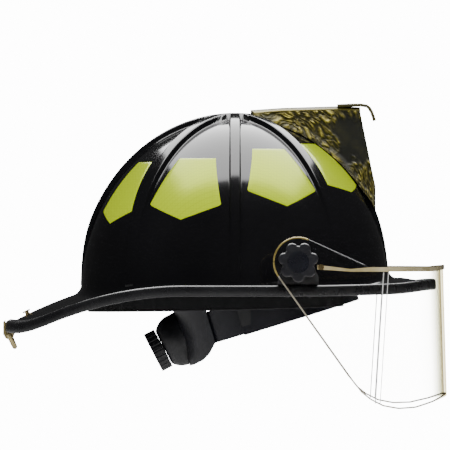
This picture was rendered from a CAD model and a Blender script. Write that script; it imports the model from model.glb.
import math
import bpy
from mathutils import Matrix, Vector, noise


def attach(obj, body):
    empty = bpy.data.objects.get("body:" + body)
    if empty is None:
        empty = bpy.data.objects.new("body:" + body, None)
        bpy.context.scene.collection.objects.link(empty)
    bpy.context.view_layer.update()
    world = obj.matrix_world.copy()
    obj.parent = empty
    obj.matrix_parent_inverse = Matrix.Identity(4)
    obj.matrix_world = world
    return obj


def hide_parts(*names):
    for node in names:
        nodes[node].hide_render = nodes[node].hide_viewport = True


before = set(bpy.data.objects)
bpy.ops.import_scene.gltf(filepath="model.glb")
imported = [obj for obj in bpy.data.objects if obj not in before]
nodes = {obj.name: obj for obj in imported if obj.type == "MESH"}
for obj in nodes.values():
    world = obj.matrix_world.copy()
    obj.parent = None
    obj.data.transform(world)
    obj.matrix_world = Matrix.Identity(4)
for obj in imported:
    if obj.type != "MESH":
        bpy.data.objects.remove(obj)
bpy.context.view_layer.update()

# Shape of the dome and brim, in metres, as the CAD model has them.
DOME = (0.1385, 0.113, 0.1535)          # half axes of the dome
RISE = (0.0035, 0.003, 0.0055)          # how far the ribs stand above it along each axis
RIB_TURNS = (0, 47, 90, 133)            # degrees round the dome; each rib runs right over it
BRIM_X = -0.013                         # centre of the brim's outline
BRIM_SKIN = 0.0015                      # from the middle of the brim plate to its upper face

# Where the visual skin goes its own way: sloped flanks, a fillet, an edge just inside the plate's.
RIB_FOOT, RIB_TOP = 0.0050, 0.0039      # half widths of a rib
HUB_FOOT, HUB_TOP = 0.0152, 0.0132      # radii of the hub where the ribs cross
FILLET = 0.007                          # between dome and brim
BRIM_HALF = (0.1895, 0.1395)            # half axes of the skin's edge


# ---------------------------------------------------------------- materials
def material(name):
    mat = bpy.data.materials.new(name)
    mat.use_nodes = True
    tree = mat.node_tree
    return mat, tree, tree.nodes["Principled BSDF"]


def add(tree, kind, **sockets):
    node = tree.nodes.new(kind)
    for key, value in sockets.items():
        if key.startswith("_"):
            setattr(node, key[1:], value)
        else:
            node.inputs[key.replace("_", " ")].default_value = value
    return node


def coords(tree):
    """Position in the object's own frame, in metres."""
    return tree.nodes.new("ShaderNodeTexCoord").outputs["Object"]


def noise_at(tree, where, size, detail=4.0, rough=0.55):
    tex = add(tree, "ShaderNodeTexNoise", Scale=size, Detail=detail, Roughness=rough)
    tree.links.new(where, tex.inputs["Vector"])
    return tex.outputs["Fac"]


def ramp(tree, value, stops):
    node = tree.nodes.new("ShaderNodeValToRGB")
    node.color_ramp.elements[0].position, node.color_ramp.elements[0].color = stops[0]
    node.color_ramp.elements[1].position, node.color_ramp.elements[1].color = stops[-1]
    for position, colour in stops[1:-1]:
        node.color_ramp.elements.new(position).color = colour
    tree.links.new(value, node.inputs["Fac"])
    return node.outputs["Color"]


def bump(tree, shader, height, strength, distance):
    node = add(tree, "ShaderNodeBump", Strength=strength, Distance=distance)
    tree.links.new(height, node.inputs["Height"])
    tree.links.new(node.outputs["Normal"], shader.inputs["Normal"])


def grey(v):
    return (v, v, v, 1)


def mixed(name, low, high, size, rough, metallic=0.0, bump_size=0.0, depth=0.0, strength=0.3, coat=0.0,
          specular=0.5):
    """A material whose colour and roughness wander a little between two values, with fine relief."""
    mat, tree, bsdf = material(name)
    at = coords(tree)
    field = noise_at(tree, at, size)
    tree.links.new(ramp(tree, field, [(0.3, low), (0.72, high)]), bsdf.inputs["Base Color"])
    wear = noise_at(tree, at, size * 2.3)
    dull = ramp(tree, wear, [(0.25, grey(rough[0])), (0.8, grey(rough[1]))])
    tree.links.new(dull, bsdf.inputs["Roughness"])
    bsdf.inputs["Metallic"].default_value = metallic
    bsdf.inputs["Coat Weight"].default_value = coat
    bsdf.inputs["Coat Roughness"].default_value = 0.04
    bsdf.inputs["Specular IOR Level"].default_value = specular
    if bump_size:
        bump(tree, bsdf, noise_at(tree, at, bump_size, 3.0), strength, depth)
    return mat


def woven(name, low, high, pitch, depth, fuzz=0.2):
    """Cloth: two crossed sets of fine ribs with a little fuzz."""
    mat, tree, bsdf = material(name)
    at = coords(tree)
    mix = add(tree, "ShaderNodeMath", _operation="MAXIMUM")
    for slot, way in enumerate(("DIAGONAL", "Z")):
        ribs = add(tree, "ShaderNodeTexWave", Scale=pitch, Distortion=0.6, Detail=1.0, _bands_direction=way)
        tree.links.new(at, ribs.inputs["Vector"])
        tree.links.new(ribs.outputs["Fac"], mix.inputs[slot])
    tree.links.new(ramp(tree, mix.outputs[0], [(0.2, low), (0.9, high)]), bsdf.inputs["Base Color"])
    bsdf.inputs["Roughness"].default_value = 0.92
    bsdf.inputs["Sheen Weight"].default_value = fuzz
    bump(tree, bsdf, mix.outputs[0], 0.5, depth)
    return mat


shell_mat = mixed("shell_gloss", (0.0035, 0.0035, 0.004, 1), (0.006, 0.006, 0.007, 1), 9, (0.10, 0.16),
                  bump_size=260, depth=0.00001, strength=0.08, specular=0.34)
rubber_mat = mixed("edge_rubber", (0.006, 0.006, 0.007, 1), (0.011, 0.011, 0.012, 1), 40, (0.24, 0.34),
                   bump_size=900, depth=0.00003, strength=0.15, specular=0.42)
black_steel = mixed("black_steel", (0.010, 0.010, 0.011, 1), (0.02, 0.02, 0.021, 1), 60, (0.35, 0.5),
                    bump_size=1400, depth=0.00004)
brass_mat = mixed("satin_brass", (0.36, 0.29, 0.12, 1), (0.58, 0.48, 0.24, 1), 90, (0.25, 0.42), 0.7,
                  bump_size=700, depth=0.00006)
screw_mat = mixed("polished_brass", (0.60, 0.44, 0.18, 1), (0.75, 0.58, 0.28, 1), 120, (0.16, 0.3), 1.0)
steel_mat = mixed("zinc_steel", (0.45, 0.45, 0.45, 1), (0.62, 0.62, 0.61, 1), 120, (0.28, 0.45), 1.0)
nylon_mat = mixed("black_nylon", (0.014, 0.014, 0.015, 1), (0.028, 0.028, 0.030, 1), 70, (0.45, 0.6),
                  bump_size=1200, depth=0.00005)
acetal_mat = mixed("acetal", (0.42, 0.42, 0.40, 1), (0.58, 0.58, 0.55, 1), 80, (0.35, 0.5))
knob_mat = mixed("knob_plastic", (0.004, 0.004, 0.006, 1), (0.011, 0.011, 0.014, 1), 60, (0.30, 0.46),
                 bump_size=1500, depth=0.00006)
cap_mat = mixed("knob_cap", (0.002, 0.002, 0.005, 1), (0.005, 0.006, 0.010, 1), 60, (0.22, 0.34))
housing_mat = mixed("housing_plastic", (0.003, 0.003, 0.004, 1), (0.008, 0.008, 0.010, 1), 50, (0.38, 0.55),
                    bump_size=1500, depth=0.00008, strength=0.4)
band_mat = mixed("band_plastic", (0.002, 0.002, 0.005, 1), (0.006, 0.006, 0.011, 1), 45, (0.36, 0.5),
                 bump_size=900, depth=0.00006)
foam_mat = mixed("foam_skin", (0.010, 0.010, 0.010, 1), (0.022, 0.022, 0.022, 1), 120, (0.7, 0.9),
                 bump_size=600, depth=0.0003, strength=0.5)
pad_mat = woven("pad_cloth", (0.020, 0.020, 0.022, 1), (0.055, 0.055, 0.060, 1), 480, 0.00025)
web_mat = woven("webbing", (0.022, 0.022, 0.022, 1), (0.075, 0.075, 0.072, 1), 330, 0.0004)
cloth_mat = woven("protector_cloth", (0.0015, 0.0015, 0.002, 1), (0.007, 0.007, 0.008, 1), 420, 0.0003, 0.04)


def reflective():
    """Lime sheet with a fine honeycomb of cells under a clear face."""
    mat, tree, bsdf = material("reflective_sheet")
    at = coords(tree)
    cells = add(tree, "ShaderNodeTexVoronoi", Scale=420.0, Randomness=0.05, _feature="DISTANCE_TO_EDGE")
    tree.links.new(at, cells.inputs["Vector"])
    colour = ramp(tree, cells.outputs["Distance"],
                  [(0.0, (0.28, 0.38, 0.0, 1)), (0.10, (0.35, 0.46, 0.0, 1))])
    tree.links.new(colour, bsdf.inputs["Base Color"])
    tree.links.new(colour, bsdf.inputs["Emission Color"])
    bsdf.inputs["Emission Strength"].default_value = 0.36
    bsdf.inputs["Roughness"].default_value = 0.22
    bsdf.inputs["Specular IOR Level"].default_value = 0.55
    bsdf.inputs["Specular Tint"].default_value = (0.90, 1.0, 0.22, 1)
    bump(tree, bsdf, cells.outputs["Distance"], 0.15, 0.00005)
    return mat


def cast_metal():
    """Cast brass: bright on the high ground, dark patina in the hollows."""
    mat, tree, bsdf = material("cast_brass")
    at = coords(tree)
    field = noise_at(tree, at, 60, 6.0, 0.65)
    height = tree.nodes.new("ShaderNodeAttribute")
    height.attribute_name = "relief"
    total = add(tree, "ShaderNodeMath", _operation="MULTIPLY_ADD")
    tree.links.new(field, total.inputs[0])
    total.inputs[1].default_value = 0.45
    tree.links.new(height.outputs["Fac"], total.inputs[2])
    colour = ramp(tree, total.outputs[0], [(0.28, (0.004, 0.004, 0.001, 1)), (0.52, (0.038, 0.033, 0.003, 1)),
                                           (0.80, (0.15, 0.122, 0.010, 1)), (1.0, (0.42, 0.36, 0.06, 1))])
    tree.links.new(colour, bsdf.inputs["Base Color"])
    tree.links.new(ramp(tree, field, [(0.3, grey(0.50)), (0.8, grey(0.72))]), bsdf.inputs["Roughness"])
    bsdf.inputs["Metallic"].default_value = 0.25
    bump(tree, bsdf, noise_at(tree, at, 420, 4.0), 0.35, 0.0002)
    return mat


def lens_material():
    """Clear polycarbonate: see-through face on, smoky where it is seen along the sheet."""
    mat, tree, bsdf = material("clear_lens")
    out = tree.nodes["Material Output"]
    tree.nodes.remove(bsdf)
    facing = add(tree, "ShaderNodeLayerWeight", Blend=0.5)
    gloss = add(tree, "ShaderNodeBsdfGlossy", Color=(0.9, 0.9, 0.88, 1), Roughness=0.05)
    clear = add(tree, "ShaderNodeBsdfTransparent")
    wander = noise_at(tree, coords(tree), 9)
    shade = ramp(tree, facing.outputs["Facing"], [
        (0.55, (0.994, 0.994, 0.991, 1)), (0.72, (0.95, 0.95, 0.94, 1)), (0.80, (0.74, 0.74, 0.70, 1)),
        (0.88, (0.50, 0.49, 0.42, 1)), (0.97, (0.36, 0.32, 0.20, 1))])
    tree.links.new(shade, clear.inputs["Color"])
    haze = add(tree, "ShaderNodeMath", _operation="MULTIPLY_ADD")
    haze_spread, haze_least = 0.003, 0.004
    tree.links.new(wander, haze.inputs[0])
    haze.inputs[1].default_value = haze_spread
    haze.inputs[2].default_value = haze_least
    final = tree.nodes.new("ShaderNodeMixShader")
    tree.links.new(haze.outputs[0], final.inputs[0])
    tree.links.new(clear.outputs[0], final.inputs[1])
    tree.links.new(gloss.outputs[0], final.inputs[2])
    tree.links.new(final.outputs[0], out.inputs["Surface"])
    return mat


reflective_mat, cast_mat, lens_mat = reflective(), cast_metal(), lens_material()
amber_mat = mixed("amber_strip", (0.38, 0.29, 0.09, 1), (0.74, 0.66, 0.44, 1), 30, (0.16, 0.26), 0.3,
                  bump_size=300, depth=0.00003, coat=0.4)
edge_mat = mixed("amber_edge", (0.20, 0.15, 0.035, 1), (0.42, 0.33, 0.11, 1), 60, (0.2, 0.32), 0.2)

FINISH = {
    "outer_shell": shell_mat, "brim_edge_trim": rubber_mat, "crest_holder": cast_mat,
    "crest_holder_screws": screw_mat, "crest_holder_washers": steel_mat, "rear_hanger": brass_mat,
    "rear_hanger_rivet": screw_mat, "d_ring": brass_mat, "faceshield_lens": lens_mat,
    "faceshield_edge_strip": amber_mat, "edge_strip_rivets": screw_mat, "ear_grommets": nylon_mat,
    "bracket_screws": black_steel, "bracket_nuts": black_steel, "bracket_rivets": black_steel,
    "impact_liner": foam_mat, "crown_pad": pad_mat, "strap_anchors": nylon_mat,
    "neck_protector": cloth_mat, "neck_protector_snaps": steel_mat, "headband": band_mat,
    "brow_pad": pad_mat, "nape_yoke": band_mat, "nape_support": band_mat, "nape_pad": pad_mat,
    "ratchet_housing": housing_mat, "ratchet_dial": housing_mat, "ratchet_pinion": acetal_mat,
    "rack_strips": acetal_mat, "detent_spring": steel_mat,
}
FINISH_BY_START = (
    ("reflective_panel", reflective_mat), ("crown_strap", web_mat), ("pivot_bracket", black_steel),
    ("pivot_stud", steel_mat), ("pivot_spacer", nylon_mat), ("clamp_washer", steel_mat),
    ("knob_insert", brass_mat), ("knob_cap", cap_mat), ("knob", knob_mat), ("headband_hanger", nylon_mat),
)
for name, obj in nodes.items():
    finish = FINISH.get(name) or next(mat for start, mat in FINISH_BY_START if name.startswith(start))
    for held in obj.material_slots:
        held.material = finish


# ---------------------------------------------------------------- mesh helpers
def piece(name, verts, faces, mat, body, shade_smooth=True):
    mesh = bpy.data.meshes.new(name)
    mesh.from_pydata([tuple(v) for v in verts], [], faces)
    mesh.update()
    obj = bpy.data.objects.new(name, mesh)
    bpy.context.scene.collection.objects.link(obj)
    mesh.materials.append(mat)
    for poly in mesh.polygons:
        poly.use_smooth = shade_smooth
    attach(obj, body)
    return obj


def solidify(obj, thick, offset=-1.0):
    mod = obj.modifiers.new("wall", "SOLIDIFY")
    mod.thickness, mod.offset = thick, offset


def tube(name, path, radius, mat, body, sides=10):
    """A round bead along an open path, with flat ends."""
    verts, faces, last = [], [], len(path) - 1
    for i, p in enumerate(path):
        along = (path[min(i + 1, last)] - path[max(i - 1, 0)]).normalized()
        side = along.cross(Vector((0, 0, 1)))
        side = side.normalized() if side.length > 1e-4 else Vector((0, 1, 0))
        up = side.cross(along).normalized()
        for k in range(sides):
            t = 2 * math.pi * k / sides
            verts.append(p + side * radius * math.cos(t) + up * radius * math.sin(t))
    for i in range(last):
        for k in range(sides):
            a, b = i * sides + k, i * sides + (k + 1) % sides
            faces.append((a, b, b + sides, a + sides))
    faces.append(tuple(range(sides))[::-1])
    faces.append(tuple(last * sides + k for k in range(sides)))
    return piece(name, verts, faces, mat, body)


def two_layers(cols, rows, outer):
    """Faces of two grids of points, one behind the other, and the loop of points round the first."""
    faces, n, half = [], rows + 1, (cols + 1) * (rows + 1)
    for layer in (0, 1):
        for i in range(cols):
            for k in range(rows):
                q = layer * half + i * n + k
                quad = (q, q + n, q + n + 1, q + 1)
                faces.append(quad if layer == outer else quad[::-1])
    loop = [i * n for i in range(cols + 1)] + [cols * n + k for k in range(1, n)]
    loop += [i * n + rows for i in range(cols - 1, -1, -1)] + [k for k in range(rows - 1, 0, -1)]
    return faces, half, list(zip(loop, loop[1:] + loop[:1]))


# ---------------------------------------------------------------- shell
def smooth(edge0, edge1, value):
    t = max(0.0, min(1.0, (value - edge0) / (edge1 - edge0)))
    return t * t * (3 - 2 * t)


def brim_height(x, y):
    """Mid-height of the brim plate in metres; the same surface as the CAD model's, worked in mm."""
    tail_start, tail_drop, tail_arch = -45, 0.00172, 11.5
    bill_start, bill_rise, bill_run, bill_arch = 40, 3.0, 140, 8.0
    arch_run, arch_half, nose, nose_run = 90, 85, 190, 40
    level, arch = -0.5, 0.0
    x, y = x * 1000, y * 1000
    if x < tail_start:
        level -= tail_drop * (x - tail_start) ** 2
        arch = tail_arch * min(1.0, (tail_start - x) / arch_run)
    if x > bill_start:
        level += bill_rise * ((x - bill_start) / bill_run) ** 2
        arch = bill_arch * max(0.0, min((x - bill_start) / arch_run, (nose - x) / nose_run, 1.0))
    across = math.cos(math.pi / 2 * min(1.0, abs(y) / arch_half)) ** 2
    return (level + arch * across) / 1000


def rib_heading(turn):
    """Heading of a rib over the ground, in radians, from its turn in degrees."""
    t = math.radians(turn)
    return math.atan2(DOME[1] * math.sin(t), DOME[0] * math.cos(t))


# Distances of the columns beside a rib, close together where its flank rises, and the count between ribs.
BESIDE = (0, 0.0015, 0.0028, 0.0036, 0.0040, 0.0044, 0.0048, 0.0053, 0.006, 0.0075)
BETWEEN = 22


def shell_columns():
    """Turns round the dome: beside a rib as (heading, distance), between ribs as (heading, next, share)."""
    headings = [rib_heading(turn) for turn in list(RIB_TURNS) + [t + 180 for t in RIB_TURNS]]
    columns = []
    for i, heading in enumerate(headings):
        following = headings[(i + 1) % len(headings)]
        columns += [("rib", heading, d) for d in BESIDE]
        columns += [("between", heading, following, k / BETWEEN) for k in range(1, BETWEEN)]
        columns += [("rib", following, -d) for d in reversed(BESIDE[1:])]
    return columns


def along_rib(heading, d, reach):
    """The point of the unit ring of that reach on a line beside a rib, in parametric terms."""
    a, b = DOME[0], DOME[1]
    ux, uy = math.cos(heading) / a, math.sin(heading) / b
    vx, vy = -math.sin(heading) / a, math.cos(heading) / b
    qa, qb, qc = ux * ux + uy * uy, 2 * d * (ux * vx + uy * vy), d * d * (vx * vx + vy * vy) - reach * reach
    s = (-qb + math.sqrt(max(0.0, qb * qb - 4 * qa * qc))) / (2 * qa)
    return math.atan2(s * uy + d * vy, s * ux + d * vx)


def column_turn(column, reach):
    """Turn of one column at a reach; the columns close in on the hub so that they never cross."""
    least_reach, free_reach = 0.03, 0.26
    reach = max(reach, least_reach)
    squeeze = min(1.0, reach / free_reach)
    if column[0] == "rib":
        return along_rib(column[1], column[2] * squeeze, reach)
    margin = BESIDE[-1] * squeeze
    start, end = along_rib(column[1], margin, reach), along_rib(column[2], -margin, reach)
    if end < start:
        end += 2 * math.pi
    return start + (end - start) * column[3]


def raised(x, y):
    """How much of the ribs' height stands here, 0 to 1."""
    most = smooth(HUB_FOOT, HUB_TOP, math.hypot(x, y))
    for turn in RIB_TURNS:
        heading = rib_heading(turn)
        off_line = abs(-x * math.sin(heading) + y * math.cos(heading))
        most = max(most, smooth(RIB_FOOT, RIB_TOP, off_line))
    return most


def build_shell():
    """Dome, ribs, fillet and brim as one smooth skin, with its wall added inwards."""
    wall, crown_gap = 0.0029, 0.012
    low_rise, rise_over = 0.15, 0.06        # the ribs' share of height at the foot, and where it is full
    verts, faces, columns = [], [], shell_columns()
    dome_rings, fillet_rings, brim_rings = 96, 8, 26
    for column in columns:
        turn = column_turn(column, 1.0)
        base = Vector((DOME[0] * math.cos(turn), DOME[1] * math.sin(turn), 0))
        edge = Vector((BRIM_X + BRIM_HALF[0] * math.cos(turn), BRIM_HALF[1] * math.sin(turn), 0))
        out = (edge - base).normalized()
        span = (edge - base).length
        foot = brim_height(base.x, base.y) + BRIM_SKIN + FILLET
        last = math.acos(min(1.0, foot / DOME[2])) if foot > 0 else math.pi / 2 - foot / DOME[2]
        for k in range(dome_rings + 1):
            u = last * (crown_gap + (1 - crown_gap) * k / dome_rings)
            reach, height = (math.sin(u), math.cos(u)) if u < math.pi / 2 else (1.0, -(u - math.pi / 2))
            angle = column_turn(column, reach)
            x, y = DOME[0] * reach * math.cos(angle), DOME[1] * reach * math.sin(angle)
            full = low_rise + (1 - low_rise) * smooth(foot, foot + rise_over, DOME[2] * height)
            share = raised(x, y) * full
            verts.append(Vector((x + RISE[0] * share * reach * math.cos(angle),
                                 y + RISE[1] * share * reach * math.sin(angle),
                                 (DOME[2] + RISE[2] * share) * height)))
        for k in range(1, fillet_rings + 1):
            t = math.pi / 2 * k / fillet_rings
            p = base + out * (FILLET * (1 - math.cos(t)))
            z = brim_height(p.x, p.y) + BRIM_SKIN + FILLET * (1 - math.sin(t))
            verts.append(Vector((p.x, p.y, z)))
        for k in range(1, brim_rings + 1):
            p = base + out * (FILLET + (span - FILLET) * k / brim_rings)
            verts.append(Vector((p.x, p.y, brim_height(p.x, p.y) + BRIM_SKIN)))
    rows = dome_rings + 1 + fillet_rings + brim_rings
    count = len(columns)
    for i in range(count):
        j = (i + 1) % count
        for k in range(rows - 1):
            faces.append((i * rows + k, i * rows + k + 1, j * rows + k + 1, j * rows + k))
    crown = len(verts)
    verts.append(Vector((0, 0, DOME[2] + RISE[2])))
    for i in range(count):
        faces.append((crown, i * rows, ((i + 1) % count) * rows))
    shell = piece("helmet_shell", verts, faces, shell_mat, "helmet")
    solidify(shell, wall)
    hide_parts("outer_shell")


def signed_power(value, power):
    return math.copysign(abs(value) ** power, value)


def build_edge_bead():
    """The rubber channel that wraps the brim's edge: flat-sided with rounded lips."""
    half_wide, half_high = 0.00325, 0.005
    mid_x, mid_y = 0.19075, 0.14075         # half axes of the channel's middle line
    verts, faces, count, n = [], [], 320, 20
    section = []
    for k in range(n):
        t = 2 * math.pi * k / n
        section.append((half_wide * signed_power(math.cos(t), 0.55),
                        half_high * signed_power(math.sin(t), 0.6)))
    for i in range(count):
        t = 2 * math.pi * i / count
        for u, v in section:
            x, y = BRIM_X + (mid_x + u) * math.cos(t), (mid_y + u) * math.sin(t)
            verts.append((x, y, brim_height(x, y) + v))
    for i in range(count):
        j = (i + 1) % count
        for k in range(n):
            faces.append((i * n + k, j * n + k, j * n + (k + 1) % n, i * n + (k + 1) % n))
    bead = piece("edge_bead", verts, faces, rubber_mat, "helmet")
    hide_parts("brim_edge_trim")


# ---------------------------------------------------------------- reflective panels
# Degrees on the dome: the middle's turn, the top's tilt from the crown, the depths of the shoulders and of
# the point below it, and the half widths at the top and at the shoulders.
PANELS = {
    "front": (24.0, 31.5, 20.9, 23.8, 14.0, 17.0), "side_front": (67.5, 34.8, 20.0, 26.1, 11.3, 17.0),
    "side_rear": (112.5, 40.0, 20.4, 25.9, 11.4, 16.6), "rear": (151.0, 41.9, 20.9, 25.4, 7.5, 12.5),
}
SHEET_LIFT, CUT_LIFT = 0.00055, 0.0001      # of the sheet's face and of its cut edge above the dome


def build_panel(place, side):
    """A five-sided sheet that follows the dome, with its cut edge turned down to the skin."""
    middle, top, down, point, top_half, low_half = PANELS[place]
    verts, faces, rows, cols = [], [], 40, 24

    def half(v):
        if v <= down:
            return top_half + (low_half - top_half) * v / down
        return low_half * (point - v) / (point - down)

    def at(u, v, lift):
        a, t = math.radians((middle + u) * side), math.radians(top + v)
        return Vector(((DOME[0] + lift) * math.sin(t) * math.cos(a),
                       (DOME[1] + lift) * math.sin(t) * math.sin(a),
                       (DOME[2] + lift) * math.cos(t)))

    for i in range(rows + 1):
        v = point * i / rows
        for k in range(cols + 1):
            u = half(v) * (2 * k / cols - 1)
            rim = i in (0, rows) or k in (0, cols)
            verts.append(at(u, v, CUT_LIFT if rim else SHEET_LIFT))
    for i in range(rows):
        for k in range(cols):
            a, b = i * (cols + 1) + k, i * (cols + 1) + k + 1
            c, d = b + cols + 1, a + cols + 1
            faces.append((a, b, c, d) if side < 0 else (a, d, c, b))
    name = f"{place}_{'left' if side > 0 else 'right'}"
    sheet = piece("sheet_" + name, verts, faces, reflective_mat, "helmet")
    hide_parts("reflective_panel_" + name)


# ---------------------------------------------------------------- crest holder
CREST_REAR, CREST_BEND, CREST_NOSE, CREST_TIP = 0.014, 0.1126, 0.1265, 0.1266      # along x
CREST_TOP = ((CREST_REAR, 0.1615), (0.043, 0.1635), (0.094, 0.165), (CREST_BEND, 0.1640), (0.1128, 0.1595),
             (0.1179, 0.1345), (0.1230, 0.1092), (CREST_NOSE, 0.0930), (CREST_TIP, 0.0835))
FINGER_RELIEF = 0.30
RELIEF_SEED = 1794881116                # unless it is seeded, noise_vector's offset comes from the clock
noise.seed_set(RELIEF_SEED)


def crest_top(x):
    """Height of the holder's outline."""
    for (x0, z0), (x1, z1) in zip(CREST_TOP, CREST_TOP[1:]):
        if x0 <= x <= x1:
            return z0 + (z1 - z0) * (x - x0) / max(1e-9, x1 - x0)
    return CREST_TOP[-1][1]


def ridge(x):
    """Height of the front rib's top under the holder."""
    a, c = DOME[0] + RISE[0], DOME[2] + RISE[2]
    return c * math.sqrt(max(0.0, 1 - (x / a) ** 2))


def noise_near(x, z, scale, slice_at):
    """Smooth noise over the cheek, -1 to 1; the slice picks an independent field."""
    return noise.noise(Vector((x * scale, slice_at, z * scale)))


def feather(x, z):
    """Overlapping feathers that fan back over the dome, cut by curling veins; 0 to 1."""
    drift = noise.noise_vector(Vector((x * 30, 0.7, z * 30)))
    curl = noise.noise_vector(Vector((x * 85, 4.1, z * 85)))
    px, pz = x + 0.0085 * drift.x + 0.0032 * curl.x, z + 0.0085 * drift.z + 0.0032 * curl.z
    fan_centre, fan_radius, length, width, stagger = 0.02, 0.150, 0.0125, 0.0056, 0.045
    lift = pz - ridge(px)
    turn = math.atan2(pz - fan_centre, px - fan_centre)
    along, across = turn * fan_radius / length + lift / stagger, lift / width
    far, spots = noise.voronoi(Vector((along, 0.0, across)))
    du, dv = along - spots[0].x, across - spots[0].z
    edge = smooth(0.0, 0.42, far[1] - far[0])
    slope = min(0.9, max(0.10, 0.52 - 0.62 * du))
    quill = 0.22 * math.exp(-(dv / 0.08) ** 2)
    vein = 1 - abs(noise.noise(Vector((along * 1.1, 7.3, across * 1.5)))) / 0.30
    fine = 1 - abs(noise.noise(Vector((along * 2.3, 1.9, across * 2.6)))) / 0.28
    lines = 0.42 * max(0.0, vein) ** 2 + 0.24 * max(0.0, fine) ** 2
    rough, wash = 0.16 * noise_near(x, z, 420, 0.2), 0.30 * noise_near(x, z, 48, 9.2)
    return max(0.0, min(1.0, edge * (slope + quill) * 0.75 + lines + rough + wash - 0.10))


def plain_patch(x, z):
    """The smooth cheek near the front, where the relief dies away."""
    lean = (x - 0.103) + 0.30 * (z - 0.137)
    edge = 0.0050 * noise_near(x, z, 95, 0) + 0.0016 * noise_near(x, z, 300, 0)
    low, high = smooth(0.110, 0.119, z + edge * 2), smooth(0.157, 0.148, z + edge * 2)
    return smooth(-0.0145, -0.0095, lean + edge) * low * high


def give_relief(obj, values):
    """Store the height that the cast metal's colour follows."""
    obj.data.attributes.new("relief", "FLOAT", "POINT").data.foreach_set("value", values)


def build_crest():
    """The cast holder: a tall fin with relief on both cheeks, on a saddle that follows the rib."""
    long_cols, nose_cols, rows = 130, 44, 84
    core, rounding, relief_height, flare_height, half_widest = 0.0020, 0.0032, 0.0026, 0.0030, 0.0089
    xs = [CREST_REAR + (CREST_BEND - CREST_REAR) * i / long_cols for i in range(long_cols + 1)]
    xs += [CREST_BEND + (CREST_NOSE - CREST_BEND) * i / nose_cols for i in range(1, nose_cols + 1)]
    verts, values = [], []
    for side in (-1, 1):
        for x in xs:
            skirt = 0.0014 + 0.0038 * smooth(0.124, 0.112, x) * smooth(CREST_REAR, 0.030, x)
            low, high = ridge(x) - skirt, crest_top(x)
            high = max(high, low + 0.0008)
            for k in range(rows + 1):
                z = low + (high - low) * k / rows
                border = min((high - z), (CREST_TIP - x) * 1.2, (x - CREST_REAR) * 0.8)
                round_off = smooth(-0.0002, 0.0028, border)
                flare = flare_height * smooth(0.010, 0.0, z - low)
                plain = plain_patch(x, z)
                height = feather(x, z) * (1 - plain)
                frame_lip = 0.5 * smooth(0.0042, 0.0032, border) * smooth(0.0010, 0.0022, border)
                relief = max(height * smooth(0.0022, 0.0045, border), 0.75 * frame_lip)
                y = core + rounding * round_off + relief_height * relief * round_off + flare * round_off
                verts.append(Vector((x, side * min(y, half_widest), z)))
                back = smooth(0.105, 0.030, x)
                values.append((relief * 0.75 + 0.14 + 0.14 * back) * (1 - 0.62 * plain))
    faces, half, rim = two_layers(len(xs) - 1, rows, 0)
    faces += [(a, a + half, b + half, b)[::-1] for a, b in rim]
    crest = piece("crest_casting", verts, faces, cast_mat, "helmet")
    give_relief(crest, values)
    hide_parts("crest_holder")


def build_hook_finger():
    """The hook finger over the holder's front: a bent strip with rounded edges."""
    spine = [(0.092, 0.1653), (0.104, 0.1659), (0.113, 0.1660), (0.1185, 0.1652), (0.1209, 0.1632),
             (0.1228, 0.1600), (0.1243, 0.1560), (0.1256, 0.1517)]
    section = [(-0.0072, -0.0014), (-0.0078, -0.0007), (-0.0078, 0.0007), (-0.0072, 0.0014),
               (0.0072, 0.0014), (0.0078, 0.0007), (0.0078, -0.0007), (0.0072, -0.0014)]
    verts, faces, last, n = [], [], len(spine) - 1, len(section)
    for i, (x, z) in enumerate(spine):
        x0, z0 = spine[max(0, i - 1)]
        x1, z1 = spine[min(last, i + 1)]
        length = math.hypot(x1 - x0, z1 - z0)
        nx, nz = -(z1 - z0) / length, (x1 - x0) / length
        verts += [Vector((x + nx * v, u, z + nz * v)) for u, v in section]
    for i in range(last):
        for k in range(n):
            j = (k + 1) % n
            faces.append((i * n + k, i * n + j, (i + 1) * n + j, (i + 1) * n + k)[::-1])
    faces += [tuple(range(n)), tuple(last * n + k for k in range(n))[::-1]]
    finger = piece("crest_finger", verts, faces, cast_mat, "helmet", shade_smooth=False)
    give_relief(finger, [FINGER_RELIEF] * len(verts))


build_shell()
build_edge_bead()
for place in PANELS:
    build_panel(place, 1)
    build_panel(place, -1)
build_crest()
build_hook_finger()


# ---------------------------------------------------------------- face shield edges
PIVOT = (0.0558, 0.0252)                # x and z of the studs
EAR, EAR_OUTLINE = 0.0216, 0.022        # radii of the bead round the ear and of the ear itself
SHIELD_HALF = 0.1525                    # from the middle plane to the sheet's inner face
SHEET_MIDDLE, SHEET_THICK = 0.0012, 0.0024
UPPER_LEVEL, LEVEL_GAP = 0.050, 0.162   # of the two sections that the sheet runs straight between
BEND_TOP, BEND_LOW = 0.1336, 0.1230     # x where the cheek turns into the front, at those levels
FRONT_TOP, FRONT_LOW = 0.1863, 0.1910   # x of the outer face dead ahead, at those levels
BROW_CORNER, JAW_CORNER = (0.1188, 0.0207), (0.104, -0.080)     # where the ear's tangents run to
EDGE_LIFT = 0.0004
BOTTOM_EDGE = ((0.104, -0.0800), (0.112, -0.0903), (0.1205, -0.0970), (0.131, -0.1022), (0.145, -0.1048),
               (0.160, -0.1040), (0.176, -0.0995), (0.191, -0.0930), (0.205, -0.0870))
FOLD_X, FOLD_Y, FOLD_Z = (0.1314, 0.1240), 0.1549, (0.0160, -0.1000)


def lens_plan(z, turn, offset):
    """A point on the shield at one height, from the turn round its front; 0 is dead ahead."""
    share = (UPPER_LEVEL - z) / LEVEL_GAP
    bend = BEND_TOP + (BEND_LOW - BEND_TOP) * share
    reach = FRONT_TOP + (FRONT_LOW - FRONT_TOP) * share - SHEET_THICK - bend + offset
    return Vector((bend + reach * math.cos(turn), (SHIELD_HALF + offset) * math.sin(turn), z))


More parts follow.
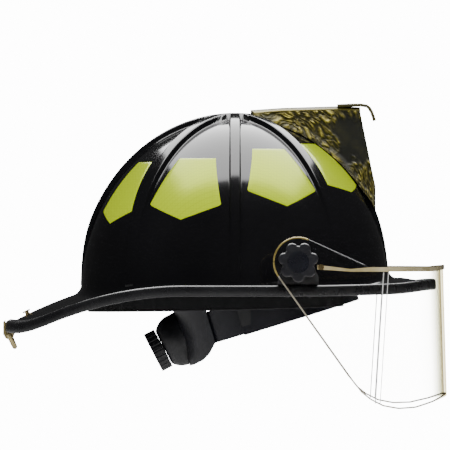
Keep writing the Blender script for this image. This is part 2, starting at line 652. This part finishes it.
def low_edge(x):
    """Height of the shield's bottom edge from jaw to front."""
    for (x0, z0), (x1, z1) in zip(BOTTOM_EDGE, BOTTOM_EDGE[1:]):
        if x <= x1:
            return z0 + (z1 - z0) * max(0.0, x - x0) / (x1 - x0)
    return BOTTOM_EDGE[-1][1]


def ear_tangent(corner, way):
    """Turn round the pivot at which a straight edge to that corner leaves the ear."""
    dx, dz = corner[0] - PIVOT[0], corner[1] - PIVOT[1]
    return math.atan2(dz, dx) + way * math.acos(EAR_OUTLINE / math.hypot(dx, dz))


def build_lens_edges():
    """Beads along the shield's cut edges, and the fold lines on its cheeks."""
    pale = mixed("lens_cut_edge", (0.30, 0.27, 0.20, 1), (0.46, 0.43, 0.36, 1), 50, (0.25, 0.35))
    crease = mixed("lens_crease", (0.55, 0.55, 0.54, 1), (0.70, 0.70, 0.69, 1), 50, (0.3, 0.4))
    up, down = ear_tangent(BROW_CORNER, 1), ear_tangent(JAW_CORNER, -1)
    arc = [up + (down + 2 * math.pi - up) * k / 60 for k in range(61)]
    for side, word in ((1, "left"), (-1, "right")):
        y = side * (SHIELD_HALF + SHEET_MIDDLE)
        brow_end, jaw_end = Vector((0.1180, y, 0.0207)), Vector((0.1040, y, -0.0798))
        ear = [Vector((PIVOT[0] + EAR * math.cos(t), y, PIVOT[1] + EAR * math.sin(t))) for t in arc]
        tube(f"ear_edge_{word}", ear, 0.00085, edge_mat, "faceshield")
        brow_line = [brow_end * (k / 12) + ear[0] * (1 - k / 12) for k in range(13)]
        tube(f"upper_edge_{word}", brow_line, 0.0006, cap_mat, "faceshield")
        back = [ear[-1] * (1 - k / 24) + jaw_end * (k / 24) for k in range(25)]
        bottom = [Vector((x, y, low_edge(x) + EDGE_LIFT)) for x in (0.108, 0.112, 0.116, 0.120)]
        for k in range(61):
            t = math.pi / 2 * (1 - k / 60)
            z = low_edge(lens_plan(-0.1, t, SHEET_MIDDLE).x) + EDGE_LIFT
            p = lens_plan(z, t, SHEET_MIDDLE)
            bottom.append(Vector((p.x, side * p.y, p.z)))
        tube(f"lower_edge_{word}", back + bottom, 0.00075, pale, "faceshield")
        for shift, width in ((0.0, 0.0005), (0.0042, 0.00038)):
            fold = []
            for k in range(31):
                z = FOLD_Z[0] + (FOLD_Z[1] - FOLD_Z[0]) * k / 30
                x = FOLD_X[0] + (FOLD_X[1] - FOLD_X[0]) * k / 30 + shift
                fold.append(Vector((x, side * FOLD_Y, z)))
            tube(f"fold_{word}_{int(shift * 1e4)}", fold, width, crease, "faceshield")


build_lens_edges()


# ---------------------------------------------------------------- soft pieces
BAND_TILT, BAND_X, BAND_Z = math.radians(17), 0.020, -0.037     # the headband's own frame
PAD_LOW, PAD_INNER, PAD_OUTER = 0.002, -0.0061, -0.0013         # a strip's foot and faces in that frame


def band_to_row(x, y, z):
    """A point given in the headband's own frame."""
    return Vector((BAND_X + x * math.cos(BAND_TILT) - z * math.sin(BAND_TILT), y,
                   BAND_Z + x * math.sin(BAND_TILT) + z * math.cos(BAND_TILT)))


def arc_strip(name, centre, a, b, facing, spread, top, body, channels):
    """A padded strip along part of an oval, puffed between stitched channels."""
    verts, cols, rows = [], 160, 22
    start, end = facing - spread, facing + spread
    middle = (PAD_INNER + PAD_OUTER) / 2
    for layer in (0, 1):
        for i in range(cols + 1):
            share = i / cols
            t = start + (end - start) * share
            from_end = min(1.0, min(share, 1 - share) / 0.03)
            quilt = 0.62 + 0.38 * abs(math.sin(math.pi * channels * share)) ** 0.45
            for k in range(rows + 1):
                v = k / rows
                rim = math.sqrt(max(0.0, 1 - (2 * v - 1) ** 6)) * math.sqrt(max(0.0, 1 - (1 - from_end) ** 2))
                puff = rim * quilt
                depth = middle - (middle - PAD_INNER) * puff
                if layer:
                    depth = middle + (PAD_OUTER - middle) * puff * 0.92
                x, y = centre + (a + depth) * math.cos(t), (b + depth) * math.sin(t)
                verts.append(band_to_row(x, y, PAD_LOW + (top - PAD_LOW) * v))
    faces, half, rim = two_layers(cols, rows, 1)
    faces += [(p, q, q + half, p + half) for p, q in rim]
    pad = piece(name, verts, faces, pad_mat, body)
    return pad


brow = arc_strip("brow_cushion", 0.020, 0.075, 0.077, 0.0, 1.18, 0.033, "helmet", 9)
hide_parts("brow_pad")
nape = arc_strip("nape_cushion", -0.008, 0.056, 0.0744, math.pi, 0.93, 0.0385, "nape_adjuster", 5)
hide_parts("nape_pad")


def build_crown_pad():
    """A round quilted pad under the crossing of the straps."""
    verts, faces, rings, cols = [], [], 26, 96
    a, b, c = 0.104, 0.0806, 0.1074         # half axes of the pad's upper face before it is puffed
    radius, drop, half_thick = 0.0435, 0.0032, 0.0029
    for layer in (0, 1):
        for i in range(rings + 1):
            r = radius * i / rings
            for k in range(cols):
                t = 2 * math.pi * k / cols
                x, y = r * math.cos(t), r * math.sin(t)
                z = c * math.sqrt(max(0.0, 1 - (x / a) ** 2 - (y / b) ** 2))
                rim = math.sqrt(max(0.0, 1 - (i / rings) ** 5))
                quilt = 0.70 + 0.30 * abs(math.sin(3 * t)) ** 0.5 * smooth(0.0, 0.4, i / rings)
                verts.append(Vector((x, y, z - drop + (half_thick if layer else -half_thick) * rim * quilt)))
    half = (rings + 1) * cols
    for layer in (0, 1):
        for i in range(rings):
            for k in range(cols):
                q, q2 = layer * half + i * cols + k, layer * half + i * cols + (k + 1) % cols
                quad = (q, q + cols, q2 + cols, q2)
                faces.append(quad if layer else quad[::-1])
    for k in range(cols):
        p, q = rings * cols + k, rings * cols + (k + 1) % cols
        faces.append((p, q, q + half, p + half)[::-1])
    mesh = piece("crown_cushion", verts, faces, pad_mat, "helmet")
    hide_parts("crown_pad")


build_crown_pad()


def build_protector():
    """The stowed neck protector: one cloth band from temple to temple, gathered at the snaps."""
    cols, rows = 420, 22
    start, end = math.radians(42), math.radians(318)
    half_long, half_wide = 0.1298, 0.1043   # half axes of the band's middle line
    top, hem_low, hem_rise = 0.0075, -0.0195, 0.0055
    verts, faces = [], []
    for i in range(cols + 1):
        t = start + (end - start) * i / cols
        x0, y0 = half_long * math.cos(t), half_wide * math.sin(t)
        away = abs(math.pi - t) / (math.pi - start)
        hem = hem_low + hem_rise * away ** 2
        for k in range(rows + 1):
            v = k / rows
            z = top + (hem - top) * v
            wave = 0.0011 * math.sin(t * 26 + 0.8 * math.sin(t * 7)) * v + 0.0006 * math.sin(t * 61) * v * v
            r = 1 + wave / 0.12
            verts.append(Vector((x0 * r, y0 * r, z)))
    n = rows + 1
    for i in range(cols):
        for k in range(rows):
            faces.append((i * n + k, i * n + k + 1, (i + 1) * n + k + 1, (i + 1) * n + k))
    cloth = piece("neck_cloth", verts, faces, cloth_mat, "helmet")
    solidify(cloth, 0.0012, 0.0)
    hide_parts("neck_protector")
    hem_path = [verts[i * n + rows] + Vector((0, 0, 0.0004)) for i in range(0, cols + 1, 2)]
    hem = tube("neck_cloth_hem", hem_path, 0.0011, cloth_mat, "helmet", sides=8)


build_protector()


# ---------------------------------------------------------------- stage, light, camera
FLOOR_Z = -0.52
bpy.ops.mesh.primitive_plane_add(size=12, location=(0, 0, FLOOR_Z))
floor = bpy.context.object
floor.name = "floor"
floor_mat = mixed("floor_paper", (0.93, 0.93, 0.93, 1), (0.96, 0.96, 0.96, 1), 3, (0.8, 0.9))
floor.data.materials.append(floor_mat)


def lamp(name, where, target, size, power):
    data = bpy.data.lights.new(name, "AREA")
    data.shape, data.size, data.size_y = "RECTANGLE", size[0], size[1]
    data.energy = power
    obj = bpy.data.objects.new(name, data)
    bpy.context.scene.collection.objects.link(obj)
    obj.location = where
    aim = (Vector(target) - Vector(where)).to_track_quat("-Z", "Y")
    obj.rotation_euler = aim.to_euler()
    return obj


gloss = lamp("gloss_panel", (0.08, 0.40, 1.5), (0.08, 0.40, 0), (2.1, 2.4), 250)
gloss.visible_diffuse = False
key = lamp("overhead", (0.0, -0.9, 1.5), (0, 0, 0.05), (1.1, 0.6), 20)
key.visible_glossy = False
fill = lamp("side_fill", (0.2, -2.4, 0.7), (0.0, 0, 0.05), (1.4, 0.9), 17)
fill.visible_glossy = False

# The world is white to the camera, dim in reflections and soft for everything else.
SEEN, MIRRORED, AROUND = 14.0, 0.045, 0.55
world = bpy.data.worlds.new("studio")
bpy.context.scene.world = world
world.use_nodes = True
tree = world.node_tree
ray = tree.nodes.new("ShaderNodeLightPath")


def glow(node, strength):
    node.inputs["Color"].default_value = (1, 1, 1, 1)
    node.inputs["Strength"].default_value = strength
    return node


def by_ray(kind, others, these):
    """One shader for rays of that kind and another for the rest."""
    mix = tree.nodes.new("ShaderNodeMixShader")
    tree.links.new(ray.outputs[kind], mix.inputs[0])
    tree.links.new(others.outputs[0], mix.inputs[1])
    tree.links.new(these.outputs[0], mix.inputs[2])
    return mix


backdrop = glow(tree.nodes["Background"], SEEN)
soft = glow(tree.nodes.new("ShaderNodeBackground"), AROUND)
dim = glow(tree.nodes.new("ShaderNodeBackground"), MIRRORED)
either = by_ray("Is Camera Ray", by_ray("Is Glossy Ray", soft, dim), backdrop)
tree.links.new(either.outputs[0], tree.nodes["World Output"].inputs["Surface"])

# A long lens level with the helmet; the photograph is 450 pixels wide at 0.9 mm to the pixel.
SENSOR, DISTANCE, PHOTO_WIDTH = 36.0, 9.0, 450 * 0.0009
camera_data = bpy.data.cameras.new("camera")
camera = bpy.data.objects.new("camera", camera_data)
bpy.context.scene.collection.objects.link(camera)
camera_data.sensor_width = SENSOR
camera_data.lens = SENSOR * DISTANCE / PHOTO_WIDTH
camera.location = (-0.009, -DISTANCE, 0.058)
camera.rotation_euler = (math.radians(90), 0, 0)
camera_data.clip_end = 60
bpy.context.scene.camera = camera
